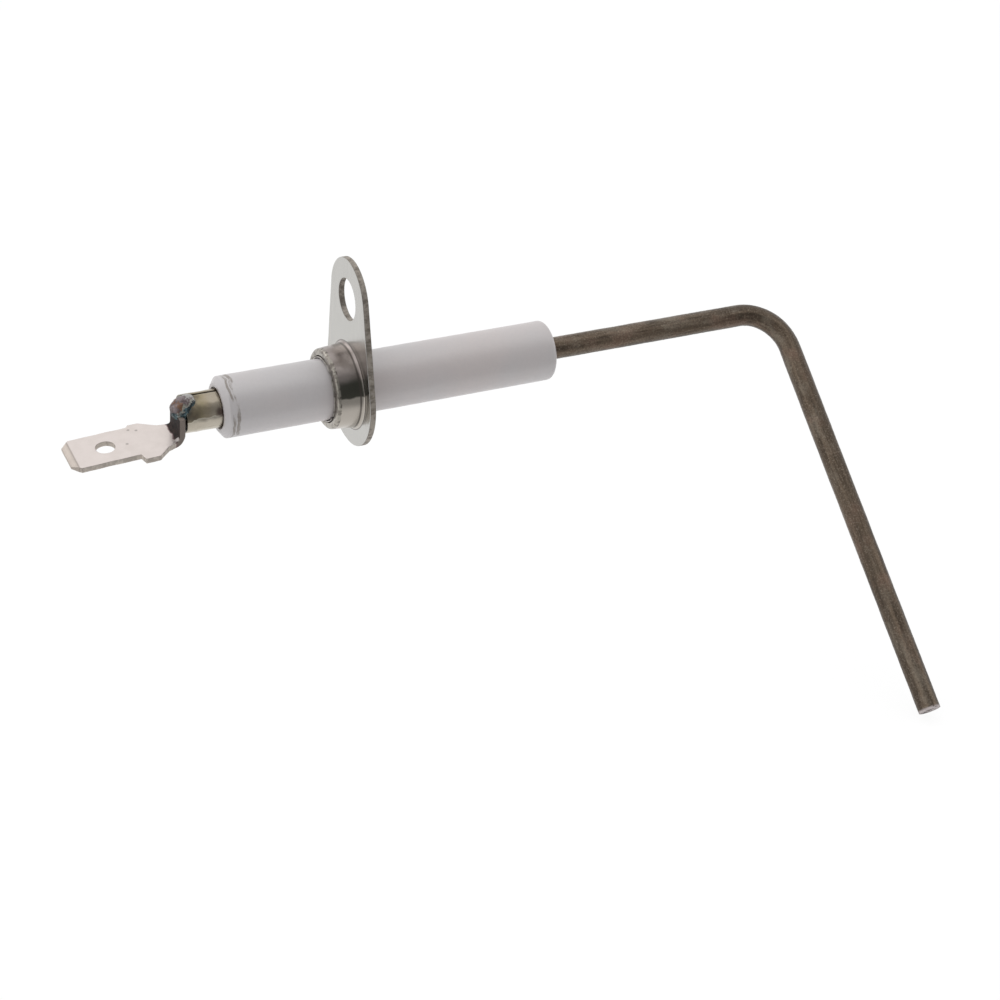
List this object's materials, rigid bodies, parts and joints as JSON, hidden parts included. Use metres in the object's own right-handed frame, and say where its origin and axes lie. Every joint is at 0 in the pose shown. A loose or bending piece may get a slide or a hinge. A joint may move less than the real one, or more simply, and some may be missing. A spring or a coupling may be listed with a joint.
{
  "type": "ignition electrode",
  "caption": "Boiler ignition electrode: bent spark rod cemented in a ceramic tube, clamped in a stamped flange with a screw hole, with a push-on terminal tab.",
  "frame": {"origin": "where the insulator's axis meets the mounting face of the flange, the face on the spark side", "axes": "+X along the insulator towards the spark end, +Z towards the screw hole; the terminal is at -X"},
  "size_m": [0.1029, 0.0533, 0.0582],
  "materials": {
    "alumina": "matte",
    "scaled_alloy": "matte",
    "bright_nickel": "satin",
    "satin_nickel": "satin",
    "weld_metal": "rough",
    "bracket_steel": "satin",
    "liner_metal": "satin",
    "cement": "matte"
  },
  "bodies": {
    "root": {"insulator": "alumina", "electrode_rod": "scaled_alloy", "terminal_sleeve": "bright_nickel", "terminal_tab": "satin_nickel", "weld_bead": "weld_metal", "mounting_bracket": "bracket_steel", "clamp_liner": "liner_metal", "front_cement": "cement", "rear_cement": "cement"}
  },
  "joints": []
}
